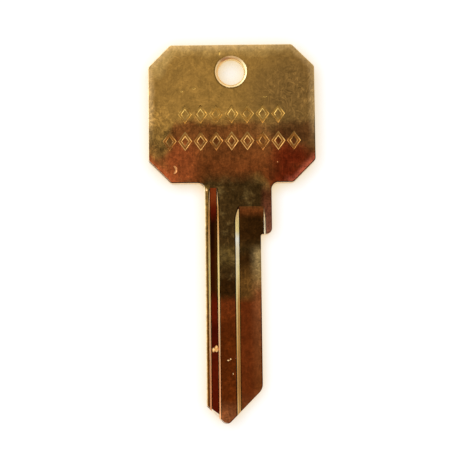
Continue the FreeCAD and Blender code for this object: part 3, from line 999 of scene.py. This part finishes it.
def key_blank(materials):
    """The whole key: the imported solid's own shape, with its struck marks, dents and crumbs."""
    key = bpy.data.objects.new("struck_key_blank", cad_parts["key_blank"].data.copy())
    bpy.context.scene.collection.objects.link(key)
    make_active(key)
    bpy.ops.object.mode_set(mode="EDIT")
    bpy.ops.mesh.select_all(action="SELECT")
    bpy.ops.mesh.remove_doubles(threshold=WELD * MM)
    bpy.ops.mesh.dissolve_limited(angle_limit=math.radians(LEVEL_WITHIN))
    bpy.ops.object.mode_set(mode="OBJECT")
    strike(key, striking_die())
    strike(key, dents())
    strike(key, crescent_dent())
    for crumb in crumbs():
        strike(key, crumb, "UNION")

    names = list(materials)
    key.data.materials.clear()
    for name in names:
        key.data.materials.append(materials[name])
    for polygon in key.data.polygons:
        polygon.material_index = names.index(part_of_key(polygon))
    make_active(key)
    bpy.ops.object.shade_smooth_by_angle(angle=math.radians(SMOOTH_BELOW))
    # The flat faces and the cutter's run-outs stay flat, so that no shading spreads over them.
    for polygon in key.data.polygons:
        if abs(polygon.normal.z) > FLAT or names[polygon.material_index] in RUN_OUTS:
            polygon.use_smooth = False
    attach(key, "root")
    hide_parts("key_blank")
    return key


# Table, light and camera

# The table's size in metres, its colour under the key's light and as seen, and its glow as seen: each
# colour's strength, and the share that it loses close to the key as a painted warm shade.
TABLE_SIZE = 3.0
TABLE_COLOUR = (0.87, 0.86, 0.84, 1.0)
TABLE_SEEN = (0.4, 0.42, 0.46, 1.0)
TABLE_GLOW = (("Red", 0.68, 0.09), ("Green", 0.66, 0.4), ("Blue", 0.62, 0.88))

# The pale room, with the direction of its window and how much lighter it is there.
ROOM_COLOUR = (1.0, 0.995, 0.985, 1.0)
ROOM_LIGHT = 0.95
WINDOW_DIRECTION = (-0.8, 0.5, 0.0)
WINDOW_LIGHT = 0.3

# The lamp's place and width in metres and its power in watts.
LAMP_PLACE = (-0.35, 0.25, 0.45)
LAMP_WIDTH = 0.35
LAMP_POWER = 0.5

# The camera's place and lens in millimetres, and its turn in degrees.
CAMERA_PLACE = (-0.85, -14.255, 203.92)
CAMERA_TURN = (4.34, 0.14, -0.65)
LENS = 107.2
SENSOR_WIDTH = 36.0


def table():
    """A plain pale table that shows white to the camera and keeps the key's shadow."""
    deselect_all()
    bpy.ops.mesh.primitive_plane_add(size=TABLE_SIZE)
    floor = bpy.context.active_object
    floor.name = "table"
    material = bpy.data.materials.new("pale table")
    material.use_nodes = True
    tree = material.node_tree
    tree.nodes.clear()
    # Close to the key the table's glow dims by ambient occlusion, the blue most: a painted contact shade,
    # warm as of light bounced from the brass.
    open_sky = add(tree, "AmbientOcclusion", (1.0, 1.0, 1.0, 1.0))
    open_sky.inputs["Distance"].default_value = HALO_REACH * MM
    near = minus(tree, 1.0, open_sky.outputs["AO"])
    warm = add(tree, "CombineColor")
    for name, full, loss in TABLE_GLOW:
        give(tree, warm.inputs[name], times(tree, full, maths(tree, "MULTIPLY_ADD", near, -loss, 1.0)))
    matt = add(tree, "BsdfDiffuse", TABLE_COLOUR)
    matt_seen = add(tree, "BsdfDiffuse", TABLE_SEEN)
    glow = add(tree, "Emission", warm.outputs["Color"], 1.0)
    both = add(tree, "AddShader", matt_seen.outputs[0], glow.outputs[0])
    rays = add(tree, "LightPath").outputs
    seen = highest(tree, rays["Is Camera Ray"], rays["Is Glossy Ray"], rays["Is Transmission Ray"])
    shown = add(tree, "MixShader", seen, matt.outputs[0], both.outputs[0])
    add(tree, "OutputMaterial", shown.outputs[0])
    floor.data.materials.append(material)


def surround():
    """An even pale room, a little lighter at the upper left, as beside a window."""
    world = bpy.data.worlds.new("surround")
    bpy.context.scene.world = world
    world.use_nodes = True
    tree = world.node_tree
    background = tree.nodes["Background"]
    background.inputs["Color"].default_value = ROOM_COLOUR
    direction = add(tree, "TexCoord").outputs["Generated"]
    window = Vector(WINDOW_DIRECTION).normalized()
    facing = add(tree, "VectorMath", direction, tuple(window), operation="DOT_PRODUCT").outputs["Value"]
    give(tree, background.inputs["Strength"], maths(tree, "MULTIPLY_ADD", facing, WINDOW_LIGHT, ROOM_LIGHT))


def lamp():
    """One wide soft lamp high on the left, for the shape and a faint shadow."""
    light = bpy.data.lights.new("soft lamp", "AREA")
    light.shape = "DISK"
    light.size = LAMP_WIDTH
    light.energy = LAMP_POWER
    holder = bpy.data.objects.new("soft lamp", light)
    holder.location = LAMP_PLACE
    holder.rotation_euler = (-Vector(holder.location)).to_track_quat("-Z", "Y").to_euler()
    bpy.context.scene.collection.objects.link(holder)


def camera():
    """The photograph's view: nearly straight down, from about 200 mm above the face."""
    view = bpy.data.cameras.new("camera")
    view.sensor_width = SENSOR_WIDTH
    view.lens = LENS
    view.clip_start = 0.01
    view.clip_end = 10.0
    holder = bpy.data.objects.new("camera", view)
    holder.location = Vector(CAMERA_PLACE) * MM
    holder.rotation_euler = [math.radians(turn) for turn in CAMERA_TURN]
    bpy.context.scene.collection.objects.link(holder)
    bpy.context.scene.camera = holder


bpy.context.scene.view_settings.view_transform = "Standard"

groups = {
    "marks": tumbling_marks(),
    "clouds": tarnish_clouds(),
    "depth": cut_depth(),
    "grime": grime_line(),
    "wear": outline_wear(),
}
materials = {
    "front": front_tarnish_and_reflection(groups),
    "back": tarnished_back(groups),
    "struck": struck_metal(groups),
    "step floor": step_floor(groups),
    "groove floor": groove_floor(groups, "narrow groove floor", NARROW_GROOVE),
    "back floor": groove_floor(groups, "back groove floor", BACK_GROOVE, facing=-1.0),
    "step wall": step_wall(groups),
    "groove wall": groove_wall(groups, "narrow groove wall"),
    "back wall": groove_wall(groups, "back groove wall"),
    "edge": rounded_edge(groups),
    "rim": ring_hole_rim(groups),
    "shoulder wall": shoulder_wall(groups),
    "side": punched_side(groups),
    "crumb": pressed_crumb(groups),
}
key_blank(materials)
table()
surround()
lamp()
camera()
